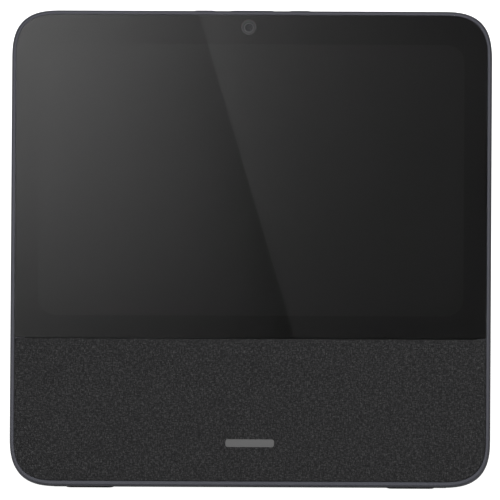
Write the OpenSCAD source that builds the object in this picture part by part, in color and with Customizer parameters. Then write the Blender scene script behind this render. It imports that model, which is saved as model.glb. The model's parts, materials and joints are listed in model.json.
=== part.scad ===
// Smart display: a leaning touch screen over a fabric-covered speaker, with a wedge-shaped
// acoustic pod behind it.
//
// The row frame has +Z up, the screen faces -Y and +X is on the viewer's right. The origin is on
// the table, under the middle of the outer box. Inside on_face() the frame is the face's own:
// x to the right, y into the body from the front rim, z up along the leaning face.

/* [Face] */
// Width of the face
body_w = 245; // [238:1:256]
// Height of the face, measured along its slope
face_h = 243; // [240:1:250]
// Radius of the face's corners
corner_r = 19.5; // [16:0.5:24]
// Angle that the face leans back
lean = 15; // [13:1:17]
// Width of the rim beside and above the glass
rim = 2; // [1.6:0.1:2.4]
// Width of the rim below the fabric
rim_low = 2.3; // [2:0.1:3]

/* [Screen] */
// Height of the seam between glass and fabric
seam_z = 75.5; // [74:0.1:76]
// Thickness of the cover glass
glass_t = 1.1; // [0.8:0.1:1.2]
// Width of the clear window in the black border
window_w = 217; // [200:1:219]
// Height of the clear window
window_h = 138.7; // [130:0.1:139]
// Distance from the top of the face to the window
window_drop = 17.2; // [16.6:0.1:18]
// Radius of the window's corners
window_r = 9; // [4:1:12]

/* [Camera and shutter] */
// Camera's place left of the middle
camera_x = -1.7; // [-2.4:0.1:1]
// Camera's distance below the top of the face
camera_drop = 8.3; // [8:0.1:8.6]
// How far the privacy shutter slides
shutter_travel = 7; // [6.5:0.5:8]

/* [Buttons] */
// Distance from the middle to each volume button
button_x = 24.35; // [24:0.05:26]
// Length of a volume button
button_l = 10.5; // [8:0.5:11]
// Length of the shutter slider's cap
slider_l = 22; // [20:1:22]
// How far the buttons stand above the top edge
button_proud = 0.4; // [0.35:0.05:0.8]
// Travel of a volume button
button_travel = 0.3; // [0.25:0.05:0.35]

/* [Speakers] */
// Distance from the middle to each speaker
speaker_x = 56; // [55:0.5:57]
// Height of the speakers' axes up the face
speaker_z = 39; // [38.5:0.5:39.5]
// Radius of the middle of each speaker's rubber roll
roll_r = 19.6; // [19.4:0.1:19.8]

/* [Pod] */
// Width of the pod
pod_w = 200; // [198:1:206]
// Depth of the whole display on the table
overall_d = 104; // [103:1:108]
// Radius of the pod's curved back
back_r = 245.3; // [240:1:252]
// Radius of the pod's upright rear corners
pod_corner_r = 26; // [20:1:28]
// Wall thickness of the pod
wall = 2.4; // [2:0.1:2.6]

/* [Feet and base] */
// Distance from the middle to each front foot
foot_x = 81.8; // [78:0.1:83]
// Length of a front foot
foot_l = 24.8; // [18:0.1:26]
// Height of the base above the table
foot_gap = 0.9; // [0.8:0.1:1.4]

/* [Hidden] */
$fn = 64;

// Depths into the face, front to back
glass_y = 0.3;
mask_y = glass_y + glass_t;
mask_t = 0.12;
ledge_y = 2;
baffle_y = 3.4;
web_y = 6.4;
web_t = 1;
frame_d = web_y + web_t;
cavity_y = 10;
slab_d = 12;

// Heights up the face
pocket_low = rim_low;
pocket_high = face_h - rim;
window_top = face_h - window_drop;
window_low = window_top - window_h;
display_low = window_low - 3.2;
display_high = window_top + 3.7;
display_w = window_w + 8;
seam_gap = 0.2;
camera_z = face_h - camera_drop;
bay_low = display_high + 1;
bay_w = 120;
bay_y = 3;
button_y = 4.7;
button_w = 3.8;
cap_sink = 1;
stem_l = 7;
stem_w = 2.4;
mic_x = 45;
mic_r = 0.6;
bar_w = 24.8;
bar_h = 4;
bar_z = 21.9;
bar_t = 0.25;

// Camera, about its own axis
ring_r = 3.8;
ring_hole_r = 2.9;
ring_t = 0.55;
eye_r = 4.2;
lens_y = 4;
lens_r = 1.9;
lens_dome_r = 3.6;
blade_y = 3.15;
blade_t = 0.4;
blade_h = 7.2;

// The pod's walls, on the table's own axes, before the shift to the origin
base_z = foot_gap;
face_z = base_z - 0.1 + slab_d * sin(lean);
rim_edge = 1.2;
front_y = rim_edge * (cos(lean) + sin(lean) - 1);
shift_y = -(front_y + overall_d) / 2;
heel_r = 16;
heel_z = base_z + heel_r;
back_center_y = overall_d - back_r;
base_t = 2.4;
base_rear_y = overall_d - heel_r - wall;
box_wall = 1.8;
gasket_t = 0.8;
box_w = 174.8;
box_low = 9.6;
box_high = 69.2;
box_floor_z = 7.5;
box_rear_y = 96;
boss_x = pod_w / 2 - 7.4;
boss_ys = [30, 74];
boss_h = 12;
foot_y = 18.4;
foot_w = 9.6;
rear_foot_y = 79;
rear_foot_l = 130;
rear_foot_w = 8;
foot_sink = 0.7;
beyond = 200;

// Passive radiator and its grille
radiator_z = 29;
radiator_w = 84;
radiator_h = 33;
radiator_roll = 6;
grille_w = 108;
grille_h = 34;
grille_sink = 0.6;
grille_slots = 11;
grille_pitch = 4.2;

// Heat vents above the inlet
vents = 12;
vent_pitch = 4.2;
vent_z = 132;

// Power inlet
jack_z = 66;
jack_r = 2.8;
jack_pin_r = 1;
panel_w = 26;
panel_h = 15;
panel_y = 88;
panel_t = 2;

// Main board
board_y = 15.5;
board_t = 1.6;
board_w = 140;
board_low = 88;
board_high = 150;
board_way_w = 110;
board_way_low = 82;
board_way_high = 138;
cable_w = 30;
shield_low = 106;
shield_t = 1.8;
lead_x = 22;
lead_y = 14;
lead_r = 0.7;
lead_low = 45;
lead_high = board_low + 3.6;
lead_reach = speaker_x - lead_x - 21;
cover_screw_x = 92;
cover_screw_zs = [78, 146];
post_x = 62;
post_zs = [95, 143];

// Speaker drive units
cone_y = 7;
flange = 54;
flange_r = 6;
flange_t = 1.2;
screw_at = 22.5;
basket_r = 21;
coil_r = 8;
magnet_y = 22;

// ---------- Frames and outlines ----------

// Row frame from the table's axes, whose y starts at the face's lower front edge
module on_table() { translate([0, shift_y, 0]) children(); }

// Table's axes from the face's own, which lean back
module leaning() { translate([0, 0, face_z]) rotate([-lean, 0, 0]) children(); }

// Row frame from the face's own axes
module on_face() { on_table() leaning() children(); }

// A flat outline, drawn in x and z, made a plate that fills depth y to y + t
module plate(y, t) { translate([0, y + t, 0]) rotate([90, 0, 0]) linear_extrude(t) children(); }

// Rounded rectangle about the origin
module rounded(w, h, r) {
    square([w - 2 * r, h], center = true);
    square([w, h - 2 * r], center = true);
    for (x = [-1, 1], y = [-1, 1])
        translate([x * (w / 2 - r), y * (h / 2 - r)]) circle(r);
}

// Outline from z_low to z_high with its own radius at the bottom and at the top
module face_outline(w, z_low, z_high, r_low, r_high) {
    translate([-w / 2, z_low + r_low]) square([w, z_high - z_low - r_low - r_high]);
    translate([-w / 2 + r_low, z_low]) square([w - 2 * r_low, r_low + 1]);
    translate([-w / 2 + r_high, z_high - r_high - 1]) square([w - 2 * r_high, r_high + 1]);
    for (x = [-1, 1]) {
        translate([x * (w / 2 - r_low), z_low + r_low]) circle(r_low);
        translate([x * (w / 2 - r_high), z_high - r_high]) circle(r_high);
    }
}

// Section of a slab's edge: depth d, reach h, one radius at the front and one at the back
module edge_section(d, h, r_front, r_back) {
    translate([r_front, 0]) square([d - r_front - r_back, h]);
    square([d, h - max(r_front, r_back)]);
    translate([r_front, h - r_front]) circle(r_front);
    square([r_front, h - r_front]);
    translate([d - r_back, h - r_back]) circle(r_back);
    translate([d - r_back, 0]) square([r_back, h - r_back]);
}

// Slab with round corners, whose front and back edges are rounded all the way along
module soft_slab(w, z_low, z_high, r, d, r_front, r_back) {
    h = z_high - z_low;
    z_mid = (z_high + z_low) / 2;
    for (x = [-1, 1], z = [-1, 1])
        translate([x * (w / 2 - r), 0, z_mid + z * (h / 2 - r)]) rotate([-90, 0, 0])
            rotate_extrude() mirror([1, -1]) edge_section(d, r, r_front, r_back);
    for (turn = [0, 180])
        translate([0, 0, z_mid]) rotate([0, turn, 0]) {
            translate([-w / 2 + r, 0, 0]) rotate([90, 0, 90])
                linear_extrude(w - 2 * r) edge_section(d, h / 2, r_front, r_back);
            translate([0, 0, -h / 2 + r]) linear_extrude(h - 2 * r)
                mirror([1, -1]) edge_section(d, w / 2, r_front, r_back);
        }
}

// Stadium outline about the origin
module stadium(w, h) { rounded(w, h, min(w, h) / 2 - 0.01); }

// Disc or ring whose axis runs into the face
module disc(y, t, r) { translate([0, y, 0]) rotate([-90, 0, 0]) cylinder(h = t, r = r); }

// The pod's whole form, drawn in by inset, from floor_z up
module pod_form(inset, floor_z) {
    intersection() {
        translate([-pod_w / 2, 0, 0]) rotate([90, 0, 90]) linear_extrude(pod_w) intersection() {
            translate([back_center_y, heel_z]) circle(back_r - inset, $fn = 200);
            translate([0, floor_z]) square([overall_d, beyond]);
            union() {
                translate([0, heel_z]) square([overall_d, beyond]);
                translate([0, base_z]) square([overall_d - heel_r, beyond]);
                translate([overall_d - heel_r, heel_z]) circle(heel_r - inset);
            }
        }
        linear_extrude(beyond) translate([0, overall_d / 2 - 10])
            rounded(pod_w - 2 * inset, overall_d + 20 - 2 * inset, pod_corner_r - inset);
        leaning() translate([-pod_w / 2, slab_d, -60]) cube([pod_w, 150, 300]);
    }
}

// Same place, left and right
module pair(x) { for (side = [-1, 1]) translate([side * x, 0, 0]) children(); }

// ---------- Slab ----------

// Way that lets a cap through the top edge, from low up
module cap_way(x, low, l, w) {
    translate([x, button_y, low]) linear_extrude(5) stadium(l, w);
}

// Opening for the acoustic box behind the speakers
module box_way() { face_outline(box_w + 1.2, box_low - 0.4, box_high + 0.6, 1, 1); }

// Front frame: rim, glass ledge, display pocket and the web behind it
module mid_frame() color([0.17, 0.17, 0.19]) on_face() difference() {
    soft_slab(body_w, 0, face_h, corner_r, frame_d, rim_edge, 0.2);
    plate(-1, ledge_y + 1)
        face_outline(body_w - 2 * rim, pocket_low, pocket_high, corner_r - rim, corner_r - rim);
    plate(ledge_y - 0.1, web_y - ledge_y + 0.1)
        face_outline(display_w, display_low, display_high, 3, 3);
    plate(ledge_y - 0.1, web_y - ledge_y + 0.1)
        face_outline(body_w - 10, pocket_low + 3, seam_z - 3.5, 12, 3);
    plate(web_y - 0.1, web_t + 1) box_way();
    // Bay for the camera, the shutter and the top board
    translate([-bay_w / 2, bay_y, bay_low]) cube([bay_w, frame_d, pocket_high - bay_low]);
    translate([camera_x, 0, camera_z]) disc(ledge_y - 0.1, 2, eye_r);
    for (side = [-1, 1]) cap_way(side * button_x, pocket_high - 2, button_l + 0.2, button_w + 0.2);
    // Recess that the slider's cap runs in, and the slot for its stem
    cap_way(shutter_travel / 2, face_h - cap_sink, slider_l + shutter_travel + 0.3, button_w + 0.3);
    cap_way(shutter_travel / 2, pocket_high - 1, stem_l + shutter_travel + 0.3, stem_w + 0.3);
    pair(mic_x) translate([0, button_y, pocket_high - 1]) cylinder(h = 4, r = mic_r);
    // Slot for the display cable, and pilot holes for the cover screws
    translate([-cable_w / 2 - 3, web_y - 0.1, display_low]) cube([cable_w + 6, web_t + 1, 3]);
    pair(cover_screw_x) for (z = cover_screw_zs) translate([0, 0, z]) disc(web_y - 0.05, 3, 1.05);
}

// Rear half of the slab, with posts for the main board
module rear_cover() color([0.2, 0.2, 0.21]) on_face() {
    difference() {
        intersection() {
            soft_slab(body_w, 0, face_h, corner_r, slab_d, 0.2, 3);
            translate([-body_w / 2, frame_d, -1]) cube([body_w, slab_d, face_h + 2]);
        }
        plate(frame_d - 1, cavity_y - frame_d + 1)
            face_outline(body_w - 4, 2.4, face_h - 2, corner_r - 2, corner_r - 2);
        plate(cavity_y - 1, 4) {
            box_way();
            face_outline(board_way_w, board_way_low, board_way_high, 4, 4);
        }
        pair(cover_screw_x) for (z = cover_screw_zs) translate([0, 0, z]) disc(cavity_y - 1, 4, 1.2);
    }
    pair(cover_screw_x) for (z = cover_screw_zs) translate([0, 0, z]) difference() {
        disc(frame_d, cavity_y - frame_d + 0.5, 2.8);
        disc(frame_d - 1, 6, 1.2);
    }
    pair(post_x) for (z = post_zs) translate([0, 0, z]) difference() {
        disc(cavity_y + 0.5, board_y - cavity_y - 0.5, 3.2);
        disc(slab_d, 5, 0.95);
    }
}

module cover_screws() color([0.5, 0.5, 0.52]) on_face()
    pair(cover_screw_x) for (z = cover_screw_zs) translate([0, 0, z]) {
        disc(web_y + 0.2, slab_d - web_y - 0.1, 1);
        difference() {
            disc(slab_d, 1.4, 2.4);
            translate([-1.4, slab_d + 0.8, -0.3]) cube([2.8, 1, 0.6]);
            translate([-0.3, slab_d + 0.8, -1.4]) cube([0.6, 1, 2.8]);
        }
    }

// ---------- Display ----------

glass_side = body_w / 2 - rim - 0.1;

module glass_outline(inset) {
    face_outline(2 * (glass_side - inset), seam_z + inset, pocket_high - 0.1 - inset,
        0.8, corner_r - rim - 0.1 - inset);
}

module cover_glass() color([0.05, 0.05, 0.055]) on_face() plate(glass_y, glass_t) glass_outline(0);

// Black ink border on the back of the glass, open at the window and at the camera
module glass_mask() color([0.02, 0.02, 0.02]) on_face() plate(mask_y, mask_t) difference() {
    glass_outline(0.2);
    face_outline(window_w, window_low, window_top, window_r, window_r);
    translate([camera_x, camera_z]) circle(ring_r + 0.1);
}

// Foam tape that holds the glass to the ledge
module glass_adhesive() color([0.12, 0.12, 0.12]) on_face()
    plate(mask_y + mask_t, ledge_y - mask_y - mask_t) difference() {
        glass_outline(0.6);
        face_outline(display_w + 1, display_low - 0.5, display_high + 0.5, 3, 3);
        translate([camera_x, camera_z]) circle(eye_r);
    }

display_mid = (window_low + window_top) / 2;

module display_layer(y, t, inset) {
    plate(y, t) translate([0, display_mid])
        square([window_w + 6 - 2 * inset, window_h + 5 - 2 * inset], center = true);
}

module lcd_panel() color([0.06, 0.06, 0.07]) on_face() display_layer(1.6, 1.6, 0);

module light_guide() color([0.75, 0.77, 0.78]) on_face() display_layer(3.25, 2, 1);

// Steel pan around the back of the light guide
module backlight_tray() color([0.6, 0.6, 0.62]) on_face() difference() {
    display_layer(3.3, 2.6, 0.2);
    display_layer(3, 2.4, 0.9);
}

// Flat cable that folds from the panel's lower edge to the main board
module display_cable() color([0.72, 0.5, 0.16]) on_face()
    translate([-cable_w / 2, 0, 0]) rotate([90, 0, 90]) linear_extrude(cable_w) {
        translate([2.4, display_low + 0.2]) square([9.8, 0.3]);
        translate([11.9, display_low + 0.2]) square([0.3, 8]);
        translate([11.9, display_low + 7.9]) square([board_y - 12.9, 0.3]);
        translate([board_y - 1.3, display_low + 7.9]) square([0.3, 8]);
        translate([board_y - 1.3, display_low + 12.9]) square([1.3, 3]);
    }

// ---------- Camera and shutter ----------

module at_camera() { on_face() translate([camera_x, 0, camera_z]) children(); }

module camera_trim_ring() color([0.3, 0.3, 0.32]) at_camera() difference() {
    disc(mask_y, ring_t, ring_r);
    disc(mask_y - 1, 2, ring_hole_r);
}

module camera_lens() color([0.1, 0.1, 0.16]) at_camera() intersection() {
    disc(lens_y, 1.1, lens_r);
    translate([0, lens_y + lens_dome_r, 0]) sphere(lens_dome_r);
}

module camera_barrel() color([0.08, 0.08, 0.08]) at_camera() difference() {
    disc(lens_y - 0.1, 3.6, ring_hole_r);
    disc(lens_y - 1, 2.1, lens_r + 0.1);
    disc(lens_y, 3, 1.2);
}

module camera_board() color([0.1, 0.3, 0.15]) at_camera() {
    translate([-4, 8.3, -3.6]) cube([8, 0.8, 7.2]);
    translate([-3.2, 7.5, -3.2]) cube([6.4, 0.8, 6.4]);
}

// Thin blade with a hole that leaves the camera clear at rest
module shutter_blade() color([0.55, 0.2, 0.12]) on_face() difference() {
    union() {
        translate([camera_x - shutter_travel - 4.4, blade_y, camera_z - blade_h / 2])
            cube([shutter_travel + 8.8, blade_t, blade_h]);
        translate([camera_x - 4, blade_y, camera_z])
            cube([8, blade_t, pocket_high - 1 - camera_z]);
    }
    translate([camera_x, 0, camera_z]) disc(blade_y - 0.15, 1, ring_hole_r + 0.2);
}

// Cap that runs in the top edge, its stem, and the flange under the frame that holds the blade
module shutter_slider() color([0.24, 0.24, 0.26]) on_face() {
    translate([0, button_y, face_h - cap_sink + 0.05])
        linear_extrude(cap_sink - 0.05 + button_proud) stadium(slider_l, button_w);
    translate([0, button_y, pocket_high - 0.5])
        linear_extrude(rim - cap_sink + 0.6) stadium(stem_l, stem_w);
    translate([-9, button_y - 1.55, pocket_high - 1]) cube([18, 4, 0.9]);
}

// ---------- Buttons and top board ----------

switch_z = pocket_high - 4.6;
switch_floor = 0.2;
nib_z = 2.8;

// Cap, retaining flange and the nib that presses the switch
module volume_button(x) on_face() translate([x, button_y, 0]) {
    translate([0, 0, pocket_high - 0.7])
        linear_extrude(rim + 0.7 + button_proud) stadium(button_l, button_w);
    translate([-button_l / 2 - 0.7, -1.5, pocket_high - 1]) cube([button_l + 1.4, 4.2, 0.95]);
    translate([0, 0, switch_z + nib_z]) cylinder(h = 1.2, r = 1.1);
}

// Plunger with room below it for the button's travel
module volume_plunger(x) on_face()
    translate([x, button_y, switch_z + switch_floor + 0.1 + button_travel])
        cylinder(h = nib_z - switch_floor - 0.1 - button_travel, r = 0.95);

module volume_down_button() color([0.24, 0.24, 0.26]) volume_button(-button_x);
module volume_up_button() color([0.24, 0.24, 0.26]) volume_button(button_x);
module volume_down_plunger() color([0.8, 0.8, 0.76]) volume_plunger(-button_x);
module volume_up_plunger() color([0.8, 0.8, 0.76]) volume_plunger(button_x);

module switch_housings() color([0.65, 0.65, 0.66]) on_face()
    for (side = [-1, 1]) translate([side * button_x, button_y, 0]) difference() {
        translate([-2.2, -1.5, switch_z]) cube([4.4, 4.4, 2]);
        translate([0, 0, switch_z + switch_floor]) cylinder(h = 3, r = 1);
    }

// One small board on either side of the camera
module top_boards() color([0.08, 0.28, 0.16]) on_face() difference() {
    translate([-55, 3.7, switch_z - 0.8]) cube([110, 5.8, 0.8]);
    translate([camera_x - 5, 3, switch_z - 2]) cube([10, 8, 4]);
}

module microphones() color([0.75, 0.72, 0.6]) on_face()
    pair(mic_x) translate([-1.8, button_y - 1, switch_z]) cube([3.6, 2.6, 1]);

module microphone_seals() color([0.1, 0.1, 0.1]) on_face()
    pair(mic_x) difference() {
        translate([-2.2, button_y - 1.4, switch_z + 1]) cube([4.4, 3.4, 3.55]);
        translate([0, button_y, switch_z]) cylinder(h = 6, r = mic_r - 0.1);
    }

// ---------- Fabric front ----------

fabric_side = body_w / 2 - rim - 0.2;
fabric_t = 0.55;

module fabric_outline(inset) {
    face_outline(2 * (fabric_side - inset), pocket_low + 0.3 + inset,
        seam_z - seam_gap - inset, corner_r - rim - 0.4 - inset, 0.9);
}

// Knit stretched over the grille plate and turned in over its edges
module fabric_cover() color([0.19, 0.19, 0.2]) on_face() difference() {
    plate(glass_y, ledge_y - glass_y) fabric_outline(0);
    plate(glass_y + fabric_t, 3) fabric_outline(fabric_t);
}

// Stiff plate behind the fabric, drilled over both speakers
module grille_plate() color([0.1, 0.1, 0.1]) on_face() difference() {
    plate(glass_y + fabric_t, ledge_y - glass_y - fabric_t) fabric_outline(fabric_t + 0.05);
    for (side = [-1, 1], row = [-2 : 2], column = [-3 : 3])
        translate([side * speaker_x + column * 6, 0, speaker_z + row * 8]) disc(0, 4, 2);
}

// Blank metal bar fixed to the fabric
module name_bar() color([0.6, 0.6, 0.6]) on_face()
    plate(glass_y - bar_t, bar_t) translate([0, bar_z]) rounded(bar_w, bar_h, 1.2);

// ---------- Speakers ----------

module at_speakers() {
    for (side = [-1, 1]) translate([side * speaker_x, 0, speaker_z]) children();
}

module at_speaker(side) on_face() translate([side * speaker_x, 0, speaker_z]) children();

// Plate that closes the speaker pocket from behind and carries both speakers
module front_baffle() color([0.13, 0.13, 0.13]) on_face() difference() {
    plate(baffle_y, web_y - baffle_y)
        face_outline(body_w - 10.6, pocket_low + 3.3, seam_z - 3.8, 11.7, 2.7);
    at_speakers() {
        disc(0, 10, roll_r + 2);
        for (x = [-1, 1], z = [-1, 1])
            translate([x * screw_at, 0, z * screw_at]) disc(baffle_y + 1, 4, 1.05);
    }
}

// Ring of section [radius, depth] turned about the speaker's axis
module turned(section) rotate([-90, 0, 0]) rotate_extrude() polygon(section);

// Square flange, tapering frame with windows, and the seat for the magnet
module speaker_basket() difference() {
    union() {
        difference() {
            plate(cone_y, flange_t) rounded(flange, flange, flange_r);
            disc(0, 20, basket_r);
        }
        turned([[basket_r, cone_y], [23.6, cone_y], [18.6, magnet_y], [10, magnet_y],
            [10, magnet_y - 1.2], [17.4, magnet_y - 1.2]]);
    }
    for (x = [-1, 1], z = [-1, 1]) translate([x * screw_at, 0, z * screw_at]) disc(0, 20, 1.05);
    for (turn = [45, 135]) rotate([0, turn, 0])
        translate([-30, cone_y + 4, -6]) cube([60, 8, 12]);
}

module speaker_magnet() {
    turned([[coil_r + 0.6, magnet_y], [16, magnet_y], [16, magnet_y + 2], [19, magnet_y + 2],
        [19, magnet_y + 9], [18, magnet_y + 9], [18, magnet_y + 12], [0, magnet_y + 12],
        [0, magnet_y + 0.5], [coil_r - 1.1, magnet_y + 0.5], [coil_r - 1.1, magnet_y + 9],
        [10.5, magnet_y + 9], [10.5, magnet_y + 2], [coil_r + 0.6, magnet_y + 2]]);
}

// Cone, dust cap and the former of its voice coil
module speaker_cone() {
    turned([[17.9, cone_y], [18.2, cone_y + 0.5], [coil_r, cone_y + 7.6], [coil_r, magnet_y + 4],
        [coil_r - 0.4, magnet_y + 4], [coil_r - 0.4, cone_y + 6.8], [17.4, cone_y]]);
    turned([[0, cone_y + 3.2], [coil_r / 2, cone_y + 4], [coil_r - 0.3, cone_y + 6.3],
        [coil_r - 0.3, cone_y + 6.9], [coil_r / 2, cone_y + 4.6], [0, cone_y + 3.8]]);
}

// Rubber half roll between cone and flange
module speaker_surround() rotate([-90, 0, 0]) rotate_extrude() {
    difference() {
        translate([roll_r, cone_y]) circle(1.7);
        translate([roll_r, cone_y]) circle(1.25);
        translate([roll_r - 3, cone_y]) square([6, 4]);
    }
    translate([roll_r + 1.3, cone_y - 0.4]) square([2.4, 0.4]);
    translate([roll_r - 2.1, cone_y - 0.4]) square([0.8, 0.4]);
}

module left_basket() color([0.25, 0.25, 0.27]) at_speaker(-1) speaker_basket();
module right_basket() color([0.25, 0.25, 0.27]) at_speaker(1) speaker_basket();
module left_magnet() color([0.45, 0.45, 0.48]) at_speaker(-1) speaker_magnet();
module right_magnet() color([0.45, 0.45, 0.48]) at_speaker(1) speaker_magnet();
module left_cone() color([0.3, 0.3, 0.3]) at_speaker(-1) speaker_cone();
module right_cone() color([0.3, 0.3, 0.3]) at_speaker(1) speaker_cone();
module left_surround() color([0.1, 0.1, 0.1]) at_speaker(-1) speaker_surround();
module right_surround() color([0.1, 0.1, 0.1]) at_speaker(1) speaker_surround();

module speaker_gaskets() color([0.15, 0.15, 0.15]) on_face() at_speakers() difference() {
    plate(web_y, cone_y - web_y) rounded(flange - 1, flange - 1, flange_r);
    disc(0, 10, roll_r + 4);
    for (x = [-1, 1], z = [-1, 1]) translate([x * screw_at, 0, z * screw_at]) disc(0, 10, 1.3);
}

module speaker_screws() color([0.6, 0.6, 0.62]) on_face() at_speakers()
    for (x = [-1, 1], z = [-1, 1]) translate([x * screw_at, 0, z * screw_at]) {
        disc(baffle_y + 1.2, cone_y + flange_t - baffle_y - 1.1, 1);
        disc(cone_y + flange_t, 1.4, 2);
    }

// ---------- Acoustic box ----------

// The box's form: between two planes square to the face, inside the pod, off the base
module box_form(inset) intersection() {
    union() {
        pod_form(wall + 1.2 + inset, box_floor_z + inset);
        leaning() translate([-box_w / 2, web_y + gasket_t, -5])
            cube([box_w, slab_d - web_y, 100]);
    }
    leaning() translate([-box_w / 2 + inset, 0, box_low + inset])
        cube([box_w - 2 * inset, 150, box_high - box_low - 2 * inset]);
    translate([-100, 0, box_floor_z + inset]) cube([200, box_rear_y - inset, 150]);
}

// Sealed enclosure behind both speakers, open to the radiator at its rear
module acoustic_box() color([0.16, 0.16, 0.17]) on_table() difference() {
    box_form(0);
    box_form(box_wall);
    leaning() translate([-box_w / 2 + box_wall, web_y - 1, box_low + box_wall])
        cube([box_w - 2 * box_wall, 8, box_high - box_low - 2 * box_wall]);
    translate([0, box_rear_y - 6, radiator_z]) plate(0, 10) stadium(radiator_w, radiator_h);
    leaning() pair(lead_x) translate([0, lead_y, box_high - 4]) cylinder(h = 6, r = 1.2);
}

module acoustic_gasket() color([0.1, 0.1, 0.1]) on_face() plate(web_y, gasket_t) difference() {
    face_outline(box_w, box_low, box_high, 0.5, 0.5);
    face_outline(box_w - 2 * box_wall, box_low + box_wall, box_high - box_wall, 0.5, 0.5);
}

module at_radiator() on_table() translate([0, box_rear_y, radiator_z]) children();

// Weighted plate that moves with the air in the box
module radiator_plate() color([0.3, 0.3, 0.32]) at_radiator() {
    plate(-1.5, 1.5) stadium(radiator_w - 2 * radiator_roll - 0.5, radiator_h - 2 * radiator_roll - 0.5);
    plate(-0.2, 0.9) stadium(radiator_w - 30, radiator_h - 22);
}

// Rubber roll round the plate, with a flat lip glued to the box
module radiator_surround() color([0.07, 0.07, 0.07]) at_radiator() difference() {
    union() {
        plate(0, 0.5) stadium(radiator_w + 7, radiator_h + 5);
        plate(0, 1.4) stadium(radiator_w - 3, radiator_h - 3);
    }
    plate(-1, 1.9) difference() {
        stadium(radiator_w - 5, radiator_h - 5);
        stadium(radiator_w - 2 * radiator_roll, radiator_h - 2 * radiator_roll);
    }
    plate(-2, 6) stadium(radiator_w - 2 * radiator_roll - 2, radiator_h - 2 * radiator_roll - 2);
}

// ---------- Pod ----------

// Outer shell of the pod, open to the slab and to the base
module pod_shell() color([0.18, 0.18, 0.19]) on_table() {
    difference() {
        pod_form(0, base_z);
        pod_form(wall, base_z + wall);
        translate([-pod_w / 2 + wall, 0, -1]) cube([pod_w - 2 * wall, base_rear_y, 12]);
        translate([0, 80, radiator_z]) plate(0, 40) stadium(grille_w + 0.4, grille_h + 0.4);
        translate([0, 80, jack_z]) plate(0, 40) rounded(panel_w + 0.2, panel_h + 0.2, 3.1);
        for (column = [-vents : vents]) translate([column * vent_pitch, 60, vent_z])
            plate(0, 40) stadium(1.8, 12);
    }
    // Bosses for the base screws, each joined to the side wall
    pair(boss_x) for (y = boss_ys) translate([0, y, base_z + base_t]) difference() {
        cylinder(h = boss_h, r = 3);
        translate([0, 0, -1]) cylinder(h = boss_h - 1, r = 1.15);
    }
    for (side = [-1, 1], y = boss_ys)
        translate([side * (pod_w / 2 - wall / 2 - 1.9) - 1.9, y - 1, base_z + base_t + 0.2])
            cube([3.8, 2, boss_h - 1]);
}

// Slotted insert over the radiator, following the pod's curve
module rear_grille() color([0.12, 0.12, 0.12]) on_table() difference() {
    intersection() {
        pod_form(grille_sink, base_z);
        translate([0, 90, radiator_z]) plate(0, 20) stadium(grille_w, grille_h);
    }
    pod_form(wall, base_z + wall);
    for (column = [-grille_slots : grille_slots])
        translate([column * grille_pitch, 90, radiator_z]) plate(0, 20) stadium(1.8, grille_h - 8);
}

// Sunken cup round the power inlet, flush with the pod
module port_panel() color([0.12, 0.12, 0.12]) on_table() difference() {
    intersection() {
        pod_form(0, base_z);
        translate([0, panel_y, jack_z]) plate(0, 20) rounded(panel_w, panel_h, 3);
    }
    translate([0, panel_y + panel_t, jack_z])
        plate(0, 20) rounded(panel_w - 3, panel_h - 3, 1.5);
    translate([0, panel_y - 1, jack_z]) disc(0, 10, 4);
}

// Inlet body and barrel
module power_jack() color([0.06, 0.06, 0.06]) on_table() translate([0, panel_y, jack_z]) difference() {
    union() {
        translate([-5.5, -12, -5]) cube([11, 11.8, 10]);
        disc(-1, panel_t + 1.6, 3.9);
    }
    disc(-9, 20, jack_r);
}

module power_jack_pin() color([0.7, 0.7, 0.7]) on_table()
    translate([0, panel_y, jack_z]) disc(-9, 10.6, jack_pin_r);

// ---------- Base ----------

module foot_form(grow) {
    pair(foot_x) translate([0, foot_y])
        rounded(foot_l + 2 * grow, foot_w + 2 * grow, 3 + grow);
}

module rear_foot_form(grow) {
    translate([0, rear_foot_y])
        rounded(rear_foot_l + 2 * grow, rear_foot_w + 2 * grow, rear_foot_w / 2 - 0.1 + grow);
}

// Bottom cover, with sunk seats for the feet and for the screw heads
module base_plate() color([0.15, 0.15, 0.15]) on_table() difference() {
    intersection() {
        translate([-pod_w / 2 + wall + 0.1, 5, base_z])
            cube([pod_w - 2 * wall - 0.2, base_rear_y - 5.2, base_t]);
        pod_form(0, base_z);
    }
    translate([0, 0, -1]) linear_extrude(1 + base_z + foot_sink) {
        foot_form(0.1);
        rear_foot_form(0.1);
    }
    pair(boss_x) for (y = boss_ys) translate([0, y, -1]) {
        cylinder(h = 10, r = 1.4);
        cylinder(h = 1 + base_z + 1.2, r = 2.7);
    }
}

module front_feet() color([0.05, 0.05, 0.05]) on_table()
    linear_extrude(base_z + foot_sink) foot_form(0);

module rear_foot() color([0.05, 0.05, 0.05]) on_table()
    linear_extrude(base_z + foot_sink) rear_foot_form(0);

// Steel weight that keeps the display from tipping back
module ballast_plate() color([0.5, 0.5, 0.52]) on_table()
    translate([-78, 26, base_z + base_t]) cube([156, 48, 3]);

module base_screws() color([0.35, 0.35, 0.37]) on_table()
    pair(boss_x) for (y = boss_ys) translate([0, y, base_z]) {
        difference() {
            cylinder(h = 1.2, r = 2.5);
            translate([-1.5, -0.3, -1]) cube([3, 0.6, 1.6]);
            translate([-0.3, -1.5, -1]) cube([0.6, 3, 1.6]);
        }
        translate([0, 0, 1.1]) cylinder(h = 10, r = 1.1);
    }

// ---------- Electronics ----------

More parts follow.
